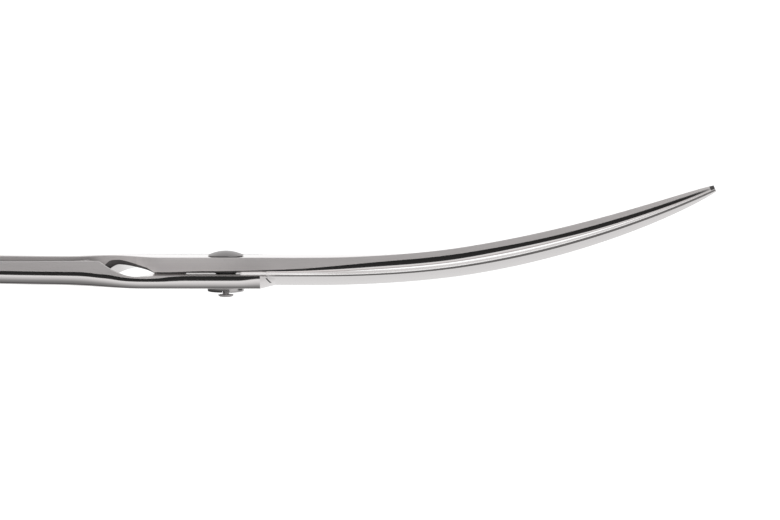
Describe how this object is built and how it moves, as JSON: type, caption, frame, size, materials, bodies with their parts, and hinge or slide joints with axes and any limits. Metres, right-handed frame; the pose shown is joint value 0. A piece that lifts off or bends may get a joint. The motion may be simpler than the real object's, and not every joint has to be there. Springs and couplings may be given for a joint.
{
  "type": "curved grooming scissors",
  "caption": "Curved pet-grooming scissors with hollow-ground blades on a tension pivot, finger bows, rubber sizing rings, stop and finger rest.",
  "frame": {"origin": "centre of the flat end of the lock screw, on the pivot axis, with the scissors closed", "axes": "+X along the closed blades to the tips, +Z along the pivot axis to the domed bolt head (the side the blades curve towards), +Y to the finger bow"},
  "size_m": [0.2235, 0.0634, 0.0249],
  "materials": {
    "blade_steel": "satin flats, mirror-polished roundings and undercuts",
    "bolt_steel": "turned satin",
    "nut_steel": "turned",
    "screw_steel": "turned",
    "spring_steel": "tempered",
    "rest_steel": "polished",
    "bush_plastic": "black bearing plastic",
    "bumper_rubber": "matt black",
    "ring_rubber": "soft matt black"
  },
  "bodies": {
    "upper": {"upper_blade": "blade_steel", "pivot_bolt": "bolt_steel", "lock_screw": "screw_steel", "bumper": "bumper_rubber", "finger_rest": "rest_steel", "finger_insert": "ring_rubber"},
    "lower": {"lower_blade": "blade_steel", "pivot_bush": "bush_plastic", "spring_washer": "spring_steel", "thumb_insert": "ring_rubber"},
    "nut": {"tension_nut": "nut_steel"}
  },
  "joints": [
    {"name": "blade_pivot", "type": "hinge", "parent": "upper", "child": "lower", "pos_m": [0, 0, 0.0055], "axis": [0, 0, 1], "range_deg": [0, 75]},
    {"name": "tension_adjust", "type": "hinge", "parent": "upper", "child": "nut", "pos_m": [0, 0, 0.0015], "axis": [0, 0, 1], "range_deg": [-90, 90]}
  ]
}
